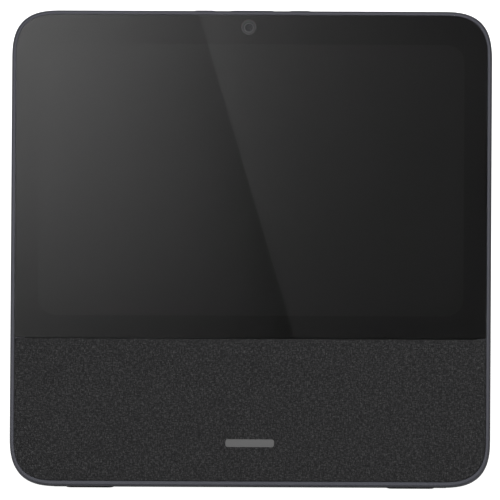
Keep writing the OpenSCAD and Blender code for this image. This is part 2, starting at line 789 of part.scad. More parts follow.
module main_board() color([0.06, 0.3, 0.16]) on_face() {
    difference() {
        plate(board_y, board_t) face_outline(board_w, board_low, board_high, 3, 3);
        pair(post_x) for (z = post_zs) translate([0, 0, z]) disc(0, 30, 1.2);
    }
    translate([-60, board_y + board_t - 0.1, 110]) cube([22, 2.2, 12]);
    translate([34, board_y + board_t - 0.1, 108]) cube([16, 1.4, 16]);
    translate([-14, board_y + board_t - 0.1, 89.5]) cube([28, 3, 5]);
}

module board_screws() color([0.6, 0.6, 0.62]) on_face()
    pair(post_x) for (z = post_zs) translate([0, 0, z]) {
        disc(slab_d + 0.1, board_y + board_t - slab_d, 0.9);
        disc(board_y + board_t, 1.2, 2);
    }

module processor_shield() color([0.66, 0.66, 0.68]) on_face()
    translate([-20, board_y + board_t, shield_low]) cube([40, shield_t, 28]);

module heat_sink() color([0.55, 0.55, 0.57]) on_face() {
    translate([-18, board_y + board_t + shield_t, shield_low + 1]) cube([36, 1.4, 26]);
    for (fin = [-4 : 4])
        translate([fin * 4 - 0.5, board_y + board_t + shield_t + 1.3, shield_low + 1])
            cube([1, 4.4, 26]);
}

module antennas() color([0.7, 0.55, 0.2]) on_face()
    pair(106) translate([-6, cavity_y - 0.5, 150]) cube([12, 0.5, 70]);

// One lead from each speaker through the box's wall to the main board
module speaker_leads() color([0.6, 0.1, 0.1]) on_face()
    for (side = [-1, 1]) translate([side * lead_x, lead_y, 0]) {
        translate([0, 0, lead_low]) {
            rotate([0, side * 90, 0]) cylinder(h = lead_reach, r = lead_r);
            sphere(lead_r);
            cylinder(h = lead_high - lead_low, r = lead_r);
        }
        translate([0, 0, lead_high]) {
            sphere(lead_r);
            rotate([-90, 0, 0]) cylinder(h = board_y - lead_y, r = lead_r);
        }
    }

mid_frame();
rear_cover();
cover_glass();
glass_mask();
glass_adhesive();
lcd_panel();
light_guide();
backlight_tray();
display_cable();
camera_trim_ring();
camera_lens();
camera_barrel();
camera_board();
shutter_blade();
shutter_slider();
volume_down_button();
volume_up_button();
volume_down_plunger();
volume_up_plunger();
switch_housings();
top_boards();
microphones();
microphone_seals();
fabric_cover();
grille_plate();
name_bar();
front_baffle();
left_basket();
right_basket();
left_magnet();
right_magnet();
left_cone();
right_cone();
left_surround();
right_surround();
speaker_gaskets();
speaker_screws();
acoustic_box();
acoustic_gasket();
radiator_plate();
radiator_surround();
pod_shell();
rear_grille();
port_panel();
power_jack();
power_jack_pin();
base_plate();
ballast_plate();
front_feet();
rear_foot();
main_board();
processor_shield();
heat_sink();
antennas();
speaker_leads();
cover_screws();
board_screws();
base_screws();
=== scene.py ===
"""Models and finishes a smart display around its frame: slab, fabric, camera, controls, pod."""

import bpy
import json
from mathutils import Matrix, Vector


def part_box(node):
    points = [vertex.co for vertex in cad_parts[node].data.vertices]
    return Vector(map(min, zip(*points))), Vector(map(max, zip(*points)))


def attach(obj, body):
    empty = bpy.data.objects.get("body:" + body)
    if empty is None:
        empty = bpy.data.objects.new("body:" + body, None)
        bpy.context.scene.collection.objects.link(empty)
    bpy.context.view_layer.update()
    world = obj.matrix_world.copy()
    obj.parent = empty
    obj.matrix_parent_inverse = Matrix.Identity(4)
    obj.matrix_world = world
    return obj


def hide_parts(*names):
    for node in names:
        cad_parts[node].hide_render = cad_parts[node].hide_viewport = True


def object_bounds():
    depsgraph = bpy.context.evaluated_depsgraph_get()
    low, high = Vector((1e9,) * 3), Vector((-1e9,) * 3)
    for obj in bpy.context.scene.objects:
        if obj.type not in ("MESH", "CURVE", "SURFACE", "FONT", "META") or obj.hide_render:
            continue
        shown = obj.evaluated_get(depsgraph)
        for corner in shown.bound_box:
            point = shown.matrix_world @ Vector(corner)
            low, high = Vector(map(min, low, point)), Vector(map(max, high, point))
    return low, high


bl_info = {
    "name": "Smart display",
    "version": (1, 0, 0),
    "blender": (4, 5, 0),
    "location": "3D View > Sidebar > Smart Display",
    "description": "Models and finishes a leaning smart display with a fabric speaker front",
    "category": "Object",
}

import json
import math

import bmesh
import bpy
from bpy.props import FloatProperty, FloatVectorProperty, IntProperty, PointerProperty
from mathutils import Matrix, Vector

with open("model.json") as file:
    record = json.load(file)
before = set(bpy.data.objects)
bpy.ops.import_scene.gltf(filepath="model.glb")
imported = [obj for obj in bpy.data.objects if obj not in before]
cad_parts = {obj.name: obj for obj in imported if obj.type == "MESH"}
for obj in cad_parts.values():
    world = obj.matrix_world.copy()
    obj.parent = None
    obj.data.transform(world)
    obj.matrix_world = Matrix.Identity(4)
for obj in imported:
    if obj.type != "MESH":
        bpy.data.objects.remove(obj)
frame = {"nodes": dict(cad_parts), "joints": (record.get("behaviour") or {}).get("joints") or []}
CAD_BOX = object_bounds()

MM = 0.001
NEAR = 1e-6
MERGE_SMALL, MERGE_LARGE = 1e-6, 5e-6
HOUSING = "housing"


def joint(name):
    return next(j for j in frame["joints"] if j["name"] == name)


# ---------- Places that come from the frame ----------

PRESS_AXIS = Vector(joint("volume_up_press")["axis"])
LEAN = math.asin(-PRESS_AXIS.y)
RIM_EDGE = 1.2 * MM
SLAB_DEPTH = 12 * MM
FRAME_DEPTH = 7.4 * MM
FOOT_GAP = 0.9 * MM
SHIFT_Y = CAD_BOX[0].y - RIM_EDGE * (math.cos(LEAN) + math.sin(LEAN) - 1)
FACE_Z = FOOT_GAP - 0.1 * MM + SLAB_DEPTH * math.sin(LEAN)
FACE = Matrix.Translation((0, SHIFT_Y, FACE_Z)) @ Matrix.Rotation(-LEAN, 4, "X")
TABLE = Matrix.Translation((0, SHIFT_Y, 0))
FACE_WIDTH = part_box("mid_frame")[1].x * 2
POD_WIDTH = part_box("pod_shell")[1].x * 2
POD_REACH = CAD_BOX[1].y - SHIFT_Y


def middle_of(node):
    """A node's middle on the face's own axes."""
    low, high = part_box(node)
    return FACE.inverted() @ ((low + high) / 2)


# Small parts, on the face's own axes
GLASS_Y = 0.3 * MM
GLASS_THICK = 1.06 * MM
CAP_Y = 4.7 * MM
CAP_WIDTH = 3.8 * MM
CAP_SINK = 1 * MM
CAP_PROUD = 0.3 * MM
SLIDER_LENGTH = 22 * MM
CAMERA_AT = (middle_of("camera_lens").x, middle_of("camera_lens").z)

# Corners larger than this ease into their sides, so they start further out and bulge more
LARGE_CORNER = 15 * MM
SOFT_CORNER = 1.336
SOFT_PROFILE = 0.618


# ---------- Sizes and colours that a user may change ----------


def length(name, description, default, low, high):
    return FloatProperty(name=name, description=description, default=default, min=low, max=high,
                         subtype="DISTANCE", unit="LENGTH", precision=4)


def colour(name, description, default):
    return FloatVectorProperty(name=name, description=description, default=default, size=3,
                               min=0, max=1, subtype="COLOR")


class FaceSizes(bpy.types.PropertyGroup):
    height: length("Face height", "Height of the face along its slope", 243 * MM, 0.24, 0.25)
    corner: length("Corner radius", "Radius of the face's corners", 19.5 * MM, 0.016, 0.024)
    rim: length("Rim", "Width of the rim beside and above the glass", 2 * MM, 0.0016, 0.0024)
    rim_low: length("Lower rim", "Width of the rim under the fabric", 2.3 * MM, 0.002, 0.003)
    seam: length("Seam height", "Height of the seam between glass and fabric", 75.5 * MM,
                 0.074, 0.076)
    corner_steps: IntProperty(
        name="Corner steps", description="Segments in each large corner",
        default=28, min=8, max=64)


class PodSizes(bpy.types.PropertyGroup):
    back_radius: length("Back radius", "Radius of the pod's curved back", 245.3 * MM, 0.24, 0.252)
    heel: length("Heel radius", "Radius under the pod's rear edge", 16 * MM, 0.01, 0.02)
    corner: length("Corner radius", "Radius of the pod's upright rear corners", 26 * MM,
                   0.02, 0.028)
    wall: length("Wall", "Thickness of the pod's shell", 2.4 * MM, 0.002, 0.0026)


class Finishes(bpy.types.PropertyGroup):
    rim: colour("Rim", "Colour of the front frame", (0.076, 0.077, 0.092))
    shell: colour("Cover", "Colour of the rear cover and the pod", (0.040, 0.040, 0.044))
    yarn: colour("Yarn", "Middle colour of the fabric's yarn", (0.030, 0.030, 0.031))
    fleck: colour("Fleck", "Colour of the light fibres in the yarn", (0.085, 0.085, 0.086))
    bar: colour("Bar", "Colour of the blank bar on the fabric", (0.13, 0.13, 0.13))


# ---------- Modelling by hand, in code ----------


def clear_selection():
    if bpy.context.mode != "OBJECT":
        bpy.ops.object.mode_set(mode="OBJECT")
    bpy.ops.object.select_all(action="DESELECT")


def activate(piece):
    clear_selection()
    piece.select_set(True)
    bpy.context.view_layer.objects.active = piece


def settle(piece):
    """Puts a piece's place, turn and size into its mesh."""
    activate(piece)
    bpy.ops.object.transform_apply(location=True, rotation=True, scale=True)


def select_where(piece, kind, test):
    """Enters edit mode and selects the verts, edges or faces whose middle passes the test."""
    activate(piece)
    bpy.ops.object.mode_set(mode="EDIT")
    bpy.ops.mesh.select_mode(type=kind[:-1].upper())
    bpy.ops.mesh.select_all(action="DESELECT")
    shape = bmesh.from_edit_mesh(piece.data)
    for part in getattr(shape, kind):
        if kind == "verts":
            middle = part.co
        elif kind == "edges":
            middle = (part.verts[0].co + part.verts[1].co) / 2
        else:
            middle = part.calc_center_median()
        part.select = bool(test(middle, part))
    shape.select_flush_mode()
    bmesh.update_edit_mesh(piece.data)


def leave_edit():
    bpy.ops.object.mode_set(mode="OBJECT")


def anywhere(at, part):
    return True


def at_depth(y):
    """Test for what lies at one depth from the face."""
    return lambda at, part: abs(at.y - y) < NEAR


def at_height(z):
    return lambda at, part: abs(at.z - z) < NEAR


def tidy_mesh(piece, near=0.5e-6):
    """Merges doubles and turns every face outwards."""
    activate(piece)
    bpy.ops.object.mode_set(mode="EDIT")
    bpy.ops.mesh.select_all(action="SELECT")
    bpy.ops.mesh.remove_doubles(threshold=near)
    bpy.ops.mesh.normals_make_consistent(inside=False)
    leave_edit()


def bevel_where(piece, test, width, steps):
    select_where(piece, "edges", test)
    bpy.ops.mesh.bevel(offset=width, segments=steps, profile=0.5, affect="EDGES",
                       clamp_overlap=True)
    leave_edit()


def bevel_corners(piece, test, radius, steps):
    """Rounds the corners of a flat outline; large corners ease into their sides."""
    large = radius > LARGE_CORNER
    select_where(piece, "verts", test)
    bpy.ops.mesh.bevel(offset=radius * (SOFT_CORNER if large else 1), segments=steps,
                       profile=SOFT_PROFILE if large else 0.5, affect="VERTICES")
    leave_edit()


def extrude(step):
    """Extrudes what is selected in edit mode."""
    bpy.ops.mesh.extrude_region_move(TRANSFORM_OT_translate={"value": step})


def extrude_all(piece, step):
    select_where(piece, "faces", anywhere)
    extrude(step)
    leave_edit()
    tidy_mesh(piece)


def rectangle(name, place, width, length, tip=0.0):
    """Flat outline to shape and extrude, tipped up about X."""
    clear_selection()
    bpy.ops.mesh.primitive_plane_add(size=1, location=place, rotation=(tip, 0, 0))
    piece = bpy.context.object
    piece.name = name
    piece.scale = (width, length, 1)
    settle(piece)
    return piece


def upright_plate(name, width, low, high, r_low, r_high, y, depth, x=0.0, steps=None):
    """Plate that stands in the face's frame, from depth y, with its own radius below and above."""
    steps = steps or bpy.context.scene.display_face.corner_steps
    middle = (low + high) / 2
    piece = rectangle(name, (x, y, middle), width, high - low, math.pi / 2)
    if r_low > 0:
        bevel_corners(piece, lambda at, part: at.z < middle and len(part.link_faces) == 1
                      and abs(at.z - low) < NEAR, r_low, steps)
    if r_high > 0:
        bevel_corners(piece, at_height(high), r_high, steps)
    tidy_mesh(piece, MERGE_LARGE)
    extrude_all(piece, (0, depth, 0))
    return piece


def flat_block(name, width, length, radius, z, height, x=0.0, y=0.0, steps=10):
    """Block that lies flat, with round corners in plan."""
    piece = rectangle(name, (x, y, z), width, length)
    radius = min(radius, width / 2 - NEAR, length / 2 - NEAR)
    bevel_corners(piece, anywhere, radius, steps)
    tidy_mesh(piece, MERGE_LARGE)
    extrude_all(piece, (0, 0, height))
    return piece


def cap_shape(node, grow, z, height):
    """Round-ended block at a volume button's place."""
    length = 10.5 * MM
    return flat_block("cap", length + 2 * grow, CAP_WIDTH + 2 * grow, 1, z, height,
                      middle_of(node).x, CAP_Y)


def modify(piece, kind, **settings):
    """Adds a modifier with its settings and applies it."""
    activate(piece)
    modifier = piece.modifiers.new("shape", kind)
    for name, value in settings.items():
        setattr(modifier, name, value)
    bpy.ops.object.modifier_apply(modifier=modifier.name)


def boolean(piece, others, operation="DIFFERENCE"):
    """Cuts, keeps or adds with other pieces, which are used up."""
    for other in others:
        modify(piece, "BOOLEAN", operation=operation, solver="EXACT", object=other)
        bpy.data.objects.remove(other)
    tidy_mesh(piece, MERGE_SMALL)
    return piece


def join(name, parts):
    clear_selection()
    for part in parts:
        part.select_set(True)
    bpy.context.view_layer.objects.active = parts[0]
    bpy.ops.object.join()
    parts[0].name = name
    return parts[0]


def copy_of(piece, name, matrix):
    """A copy with its own mesh, moved by the matrix."""
    activate(piece)
    bpy.ops.object.duplicate(linked=False)
    twin = bpy.context.object
    twin.name = name
    twin.matrix_world = matrix @ twin.matrix_world
    settle(twin)
    return twin


def soften(piece, width, steps=2, angle=50):
    """Rounds every edge sharper than the angle."""
    modify(piece, "BEVEL", width=width, segments=steps, limit_method="ANGLE",
           angle_limit=math.radians(angle), use_clamp_overlap=True, harden_normals=False)


def finish_piece(piece, finish, body, nodes, place, smooth=38):
    """Puts a piece in its place, smooths it, gives it its finish and body, and hides the CAD nodes
    it stands for.
    """
    piece.matrix_world = place @ piece.matrix_world
    settle(piece)
    bpy.ops.object.shade_smooth_by_angle(angle=math.radians(smooth))
    modify(piece, "WEIGHTED_NORMAL", keep_sharp=True, weight=100)
    piece.data.materials.clear()
    piece.data.materials.append(MATERIALS[finish])
    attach(piece, body)
    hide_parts(*nodes)


def turned(name, outline, at, steps=64):
    """Solid turned about an axis into the face, from its outline's radius and depth in mm."""
    clear_selection()
    bpy.ops.mesh.primitive_plane_add(size=1)
    piece = bpy.context.object
    piece.name = name
    bpy.ops.object.mode_set(mode="EDIT")
    bpy.ops.mesh.select_all(action="SELECT")
    bpy.ops.mesh.delete(type="VERT")
    shape = bmesh.from_edit_mesh(piece.data)
    points = [shape.verts.new((at[0] + r * MM, y * MM, at[1])) for r, y in outline]
    edges = [shape.edges.new(pair) for pair in zip(points, points[1:])]
    for part in [*points, *edges]:
        part.select = True
    bmesh.update_edit_mesh(piece.data)
    bpy.ops.mesh.select_mode(type="EDGE")
    bpy.ops.mesh.select_all(action="SELECT")
    bpy.ops.mesh.spin(steps=steps, angle=2 * math.pi, center=(at[0], 0, at[1]), axis=(0, 1, 0))
    leave_edit()
    tidy_mesh(piece, MERGE_SMALL)
    return piece


# ---------- Shader groups ----------


def feed(tree, value, socket):
    """Sets a socket to a number or a colour, or links it to another socket."""
    if isinstance(value, (int, float, tuple)):
        socket.default_value = value
    else:
        tree.links.new(value, socket)


def math_node(tree, operation, *values):
    node = tree.nodes.new("ShaderNodeMath")
    node.operation = operation
    for value, socket in zip(values, node.inputs):
        feed(tree, value, socket)
    return node.outputs[0]


def mix_colour(tree, factor, a, b):
    node = tree.nodes.new("ShaderNodeMix")
    node.data_type = "RGBA"
    for value, place in ((factor, 0), (a, 6), (b, 7)):
        feed(tree, value, node.inputs[place])
    return node.outputs[2]


def noise(tree, vector, scale, detail=2.0, rough=0.5):
    node = tree.nodes.new("ShaderNodeTexNoise")
    for name, value in (("Vector", vector), ("Scale", scale), ("Detail", detail),
                        ("Roughness", rough)):
        feed(tree, value, node.inputs[name])
    return node.outputs["Fac"]


def ramp(tree, value, low, high, to_low=0.0, to_high=1.0, smooth=False):
    """Turns the span from low to high into the span from to_low to to_high."""
    node = tree.nodes.new("ShaderNodeMapRange")
    node.interpolation_type = "SMOOTHSTEP" if smooth else "LINEAR"
    for place, number in enumerate((value, low, high, to_low, to_high)):
        feed(tree, number, node.inputs[place])
    return node.outputs[0]


def centred(tree, value):
    """Spreads a noise's usual span to -0.5 to 0.5."""
    return ramp(tree, value, 0.3, 0.7, -0.5, 0.5)


def mapped(tree, vector, rotation=(0, 0, 0), scale=(1, 1, 1)):
    node = tree.nodes.new("ShaderNodeMapping")
    node.inputs["Rotation"].default_value = rotation
    node.inputs["Scale"].default_value = scale
    tree.links.new(vector, node.inputs["Vector"])
    return node.outputs[0]


def scaled(tree, vector, gain, out):
    """Multiplies a colour by a number and hands it on."""
    node = tree.nodes.new("ShaderNodeVectorMath")
    node.operation = "SCALE"
    tree.links.new(vector, node.inputs[0])
    tree.links.new(gain, node.inputs["Scale"])
    tree.links.new(node.outputs[0], out)


def object_place(tree):
    return tree.nodes.new("ShaderNodeTexCoord").outputs["Object"]


def new_group(name, inputs, outputs=("Colour", "Roughness", "Height")):
    """A shader group's tree, its given values, its results, and the place on the object."""
    group = bpy.data.node_groups.new(name, "ShaderNodeTree")
    for label, default in inputs.items():
        kind = "NodeSocketColor" if isinstance(default, tuple) else "NodeSocketFloat"
        made = group.interface.new_socket(name=label, in_out="INPUT", socket_type=kind)
        made.default_value = default
    for label in outputs:
        kind = "NodeSocketColor" if label == "Colour" else "NodeSocketFloat"
        group.interface.new_socket(name=label, in_out="OUTPUT", socket_type=kind)
    entry = group.nodes.new("NodeGroupInput")
    leave = group.nodes.new("NodeGroupOutput")
    return group, entry.outputs, leave.inputs, object_place(group)


def mould_grain_group():
    """Fine spark grain of a moulded or painted part, with slow changes of tone."""
    group, given, out, at = new_group("Mould grain", {
        "Colour": (0.1, 0.1, 0.1, 1), "Grains per metre": 2500.0, "Tone change": 0.12,
        "Roughness": 0.5, "Roughness change": 0.08})
    grains = noise(group, at, given["Grains per metre"], 2.0, 0.6)
    cloud = noise(group, at, 22.0, 3.0, 0.55)
    tone = math_node(group, "ADD", centred(group, grains), centred(group, cloud))
    gain = math_node(group, "MULTIPLY_ADD", tone, given["Tone change"], 1.0)
    scaled(group, given["Colour"], gain, out["Colour"])
    spread = math_node(group, "MULTIPLY_ADD", centred(group, cloud),
                       given["Roughness change"], given["Roughness"])
    group.links.new(spread, out["Roughness"])
    group.links.new(grains, out["Height"])
    return group


def weave_group():
    """Plain weave of melange yarn, in the plane of the face, with painted shade where the yarns
    dip between their crowns.
    """
    group, given, out, at = new_group("Melange weave", {
        "Yarn": (0.03, 0.03, 0.03, 1), "Dark yarn": (0.01, 0.01, 0.01, 1),
        "Fleck": (0.1, 0.1, 0.1, 1), "Yarns per metre": 1700.0})
    upright = mapped(group, at, rotation=(LEAN, 0, 0))
    flat = group.nodes.new("ShaderNodeSeparateXYZ")
    group.links.new(upright, flat.inputs[0])
    sway = ramp(group, noise(group, at, 260.0, 1.0), 0.0, 1.0, -0.28, 0.28)

    def yarn_phase(axis):
        count = math_node(group, "MULTIPLY", flat.outputs[axis], given["Yarns per metre"])
        return math_node(group, "ADD", count, sway)

    across, along = yarn_phase("X"), yarn_phase("Z")

    def crown(phase):
        wave = math_node(group, "SINE", math_node(group, "MULTIPLY", phase, 2 * math.pi))
        return math_node(group, "ABSOLUTE", wave)

    over = math_node(group, "SINE", math_node(group, "MULTIPLY", across, math.pi))
    under = math_node(group, "SINE", math_node(group, "MULTIPLY", along, math.pi))
    checker = math_node(group, "MULTIPLY", over, under)
    warp_on_top = ramp(group, checker, -0.35, 0.35, 0.0, 1.0, smooth=True)
    weft_on_top = math_node(group, "SUBTRACT", 1.0, warp_on_top)
    weft = math_node(group, "MULTIPLY", crown(along), weft_on_top)
    warp = math_node(group, "MULTIPLY", crown(across), warp_on_top)
    height = math_node(group, "ADD", weft, warp)

    def fibres(scale_x, scale_z):
        return noise(group, mapped(group, upright, scale=(scale_x, 1, scale_z)), 1.0, 2.0, 0.7)

    weft_fibre = fibres(520.0, 1500.0)
    warp_fibre = fibres(1500.0, 520.0)
    fibre = mix_colour(group, warp_on_top, weft_fibre, warp_fibre)
    patch = noise(group, at, 120.0, 2.0)
    # Painted shade: the yarn colour darkens to the dark yarn colour where the weave's height is
    # low, between the crowns of the yarns.
    shade = mix_colour(group, ramp(group, height, 0.05, 0.75), given["Dark yarn"], given["Yarn"])
    deep = mix_colour(group, ramp(group, fibre, 0.32, 0.50, 0.75, 0.0), shade, given["Dark yarn"])
    flecked = mix_colour(group, ramp(group, fibre, 0.50, 0.68), deep, given["Fleck"])
    scaled(group, flecked, ramp(group, patch, 0.3, 0.7, 0.94, 1.05), out["Colour"])
    group.links.new(ramp(group, fibre, 0.3, 0.7, 0.95, 0.8), out["Roughness"])
    fuzz = math_node(group, "MULTIPLY", fibre, 0.35)
    group.links.new(math_node(group, "ADD", height, fuzz), out["Height"])
    return group


def wipe_marks_group():
    """Faint marks that a cloth leaves on a polished surface."""
    group, given, out, at = new_group(
        "Wipe marks", {"Roughness": 0.03, "Marks": 0.03}, ("Roughness",))
    streaks = mapped(group, at, (0, math.radians(32), 0), (6, 6, 55))
    marks = noise(group, streaks, 1.0, 4.0, 0.6)
    amount = math_node(group, "MULTIPLY", ramp(group, marks, 0.45, 0.8), given["Marks"])
    group.links.new(math_node(group, "ADD", amount, given["Roughness"]), out["Roughness"])
    return group


def brushed_group():
    """Fine lines of drawn or brushed metal, along X."""
    group, given, out, at = new_group("Brushed lines", {
        "Colour": (0.5, 0.5, 0.5, 1), "Roughness": 0.35, "Tone change": 0.2})
    lines = noise(group, mapped(group, at, scale=(60, 2600, 2600)), 1.0, 3.0, 0.6)
    gain = math_node(group, "MULTIPLY_ADD", centred(group, lines), given["Tone change"], 1.0)
    scaled(group, given["Colour"], gain, out["Colour"])
    group.links.new(math_node(group, "MULTIPLY_ADD", lines, 0.15, given["Roughness"]),
                    out["Roughness"])
    group.links.new(lines, out["Height"])
    return group


SHADER_GROUPS = {}


def shader_group(maker):
    if maker not in SHADER_GROUPS:
        SHADER_GROUPS[maker] = maker()
    return SHADER_GROUPS[maker]


# ---------- Materials ----------


def material_base(name):
    made = bpy.data.materials.new(name)
    made.use_nodes = True
    tree = made.node_tree
    return made, tree, tree.nodes["Principled BSDF"]


def place_group(tree, maker, **values):
    node = tree.nodes.new("ShaderNodeGroup")
    node.node_tree = shader_group(maker)
    for key, value in values.items():
        socket = node.inputs[key.replace("_", " ")]
        socket.default_value = (*value, 1) if isinstance(value, (tuple, list)) else value
    return node


def bump(tree, height, shader, strength, distance):
    node = tree.nodes.new("ShaderNodeBump")
    node.inputs["Strength"].default_value = strength
    node.inputs["Distance"].default_value = distance
    tree.links.new(height, node.inputs["Height"])
    tree.links.new(node.outputs[0], shader.inputs["Normal"])


def dress(tree, node, shader, strength, depth):
    """Feeds a group's colour, roughness and height to the shader."""
    tree.links.new(node.outputs["Colour"], shader.inputs["Base Color"])
    tree.links.new(node.outputs["Roughness"], shader.inputs["Roughness"])
    bump(tree, node.outputs["Height"], shader, strength, depth)


def moulded(name, colour, roughness, grains=2500.0, depth=0.00003, tone=0.12, specular=0.5,
            strength=0.35, rough_change=0.08):
    """Moulded, painted or printed part: grain in its colour, gloss and surface."""
    made, tree, shader = material_base(name)
    grain = place_group(tree, mould_grain_group, Colour=tuple(colour), Grains_per_metre=grains,
                        Tone_change=tone, Roughness=roughness, Roughness_change=rough_change)
    dress(tree, grain, shader, strength, depth)
    shader.inputs["Specular IOR Level"].default_value = specular
    return made


def metal(name, colour, roughness, tone=0.2):
    """Bare or plated metal with fine lines."""
    made, tree, shader = material_base(name)
    lines = place_group(tree, brushed_group, Colour=tuple(colour), Roughness=roughness,
                        Tone_change=tone)
    dress(tree, lines, shader, 0.25, 0.00001)
    shader.inputs["Metallic"].default_value = 1.0
    return made


def glass(name, tint, roughness, marks, ior=1.5):
    made, tree, shader = material_base(name)
    wipes = place_group(tree, wipe_marks_group, Roughness=roughness, Marks=marks)
    tree.links.new(wipes.outputs["Roughness"], shader.inputs["Roughness"])
    shader.inputs["Base Color"].default_value = (*tint, 1)
    shader.inputs["Transmission Weight"].default_value = 1.0
    shader.inputs["IOR"].default_value = ior
    return made


def woven(name, finishes):
    made, tree, shader = material_base(name)
    yarn = tuple(finishes.yarn)
    # The dark colour serves both the yarn's own dark fibres and the painted shade between the
    # yarns.
    weave = place_group(tree, weave_group, Yarn=yarn, Dark_yarn=tuple(0.35 * c for c in yarn),
                        Fleck=tuple(finishes.fleck), Yarns_per_metre=1450.0)
    dress(tree, weave, shader, 0.6, 0.00022)
    shader.inputs["Specular IOR Level"].default_value = 0.25
    shader.inputs["Sheen Weight"].default_value = 0.08
    shader.inputs["Sheen Roughness"].default_value = 0.5
    return made


def circuit(name):
    """Green board whose tone shows its copper tracks faintly."""
    made, tree, shader = material_base(name)
    cells = tree.nodes.new("ShaderNodeTexBrick")
    cells.inputs["Scale"].default_value = 90.0
    cells.inputs["Mortar Size"].default_value = 0.06
    cells.inputs["Color1"].default_value = (0.015, 0.10, 0.05, 1)
    cells.inputs["Color2"].default_value = (0.02, 0.13, 0.06, 1)
    cells.inputs["Mortar"].default_value = (0.05, 0.20, 0.09, 1)
    tree.links.new(mapped(tree, object_place(tree), (math.pi / 2, 0, 0)), cells.inputs["Vector"])
    tree.links.new(cells.outputs["Color"], shader.inputs["Base Color"])
    shader.inputs["Roughness"].default_value = 0.35
    bump(tree, cells.outputs["Fac"], shader, 0.3, 0.00003)
    return made


MATERIALS = {}


def grey(tone):
    return (tone, tone, tone)


def build_materials():
    finishes = bpy.context.scene.display_finishes
    MATERIALS.update({
        "rim": moulded("Rim paint", finishes.rim, 0.38, 3200.0, 0.00001, 0.06, 0.35, 0.15),
        "shell": moulded("Cover spark grain", finishes.shell, 0.52, 1500.0, 0.00006, 0.22, 0.4,
                         0.6),
        "cap": moulded("Cap paint", finishes.rim, 0.38, 3200.0, 0.00001, 0.08),
        "glass": glass("Cover glass", (1.0, 1.0, 1.0), 0.0, 0.012),
        "lens": glass("Lens glass", (0.85, 0.87, 0.95), 0.0, 0.01, 1.12),
        "ink": moulded("Border ink", grey(0.005), 0.55, 5000.0, 0.000005, 0.05, 0.15, 0.05),
        "lcd": moulded("Dark panel", grey(0.0095), 0.4, 5200.0, 0.000005, 0.05, 0.2, 0.05),
        "fabric": woven("Melange fabric", finishes),
        "bar": moulded("Bar paint", finishes.bar, 0.4, 3000.0, 0.00001, 0.06, 0.3, 0.15),
        "black": moulded("Black moulding", (0.012, 0.012, 0.0125), 0.5, 2200.0, 0.00004, 0.25),
        "base": moulded("Base moulding", (0.016, 0.016, 0.0165), 0.6, 1500.0, 0.00006, 0.25),
        "rubber": moulded("Foot rubber", grey(0.010), 0.78, 1800.0, 0.00005, 0.3, 0.3),
        "foam": moulded("Foam tape", grey(0.02), 0.9, 900.0, 0.0001, 0.4, 0.2),
        "steel": metal("Plain steel", (0.52, 0.52, 0.54), 0.32),
        "dark_steel": metal("Blackened steel", (0.16, 0.16, 0.165), 0.38),
        "aluminium": metal("Anodised aluminium", (0.62, 0.62, 0.64), 0.36),
        "contacts": metal("Plated contacts", (0.75, 0.70, 0.58), 0.22, 0.08),
        "copper": metal("Copper film", (0.72, 0.42, 0.22), 0.3, 0.1),
        "magnet": moulded("Magnet", (0.10, 0.10, 0.105), 0.55, 2600.0, 0.00003, 0.2),
        "cone": moulded("Coated paper", grey(0.045), 0.75, 1200.0, 0.0001, 0.35, 0.3),
        "board": circuit("Circuit board"),
        "clear": moulded("Light sheet", (0.75, 0.77, 0.78), 0.15, 700.0, 0.00001, 0.04),
        "shutter": moulded("Shutter film", (0.30, 0.06, 0.03), 0.5, 3000.0, 0.00001, 0.1),
        "white": moulded("White moulding", (0.70, 0.69, 0.65), 0.45, 2500.0, 0.00003, 0.06),
        "leads": moulded("Lead insulation", (0.35, 0.02, 0.02), 0.45, 1800.0, 0.00003, 0.15),
        # The barrel lip's light grey is partly its own colour and partly a painted highlight that
        # lifts it out of the shade deep inside the camera.
        "barrel": moulded("Barrel moulding", (0.18, 0.18, 0.19), 0.6, 3200.0, 0.00001, 0.1, 0.2),
        "trim": moulded("Camera ring paint", (0.075, 0.075, 0.080), 0.42, 3200.0, 0.00001, 0.1),
    })


INNER_FINISHES = {
    "foam": ("glass_adhesive", "speaker_gaskets", "acoustic_gasket"),
    "rubber": ("microphone_seals", "left_surround", "right_surround", "radiator_surround"),
    "ink": ("glass_mask",),
    "lcd": ("lcd_panel",),
    "clear": ("light_guide",),
    "steel": ("backlight_tray", "switch_housings", "left_basket", "right_basket", "radiator_plate",
              "ballast_plate", "processor_shield", "cover_screws", "board_screws",
              "speaker_screws"),
    "dark_steel": ("base_screws",),
    "aluminium": ("heat_sink",),
    "magnet": ("left_magnet", "right_magnet"),
    "cone": ("left_cone", "right_cone"),
    "copper": ("display_cable", "antennas"),
    "contacts": ("microphones", "power_jack_pin"),
    "board": ("camera_board", "top_boards", "main_board"),
    "white": ("volume_down_plunger", "volume_up_plunger"),
    "black": ("grille_plate", "front_baffle", "acoustic_box", "power_jack"),
    "base": ("base_plate",),
    "shutter": ("shutter_blade",),
    "leads": ("speaker_leads",),
}


# ---------- Operators ----------


class DISPLAY_OT_inner_finishes(bpy.types.Operator):
    """Gives every part that stays as the frame has it its own finish"""
    bl_idname = "smart_display.inner_finishes"
    bl_label = "Inner finishes"

    def execute(self, context):
        for finish, names in INNER_FINISHES.items():
            for name in names:
                mesh = frame["nodes"][name].data
                mesh.materials.clear()
                mesh.materials.append(MATERIALS[finish])
        return {"FINISHED"}


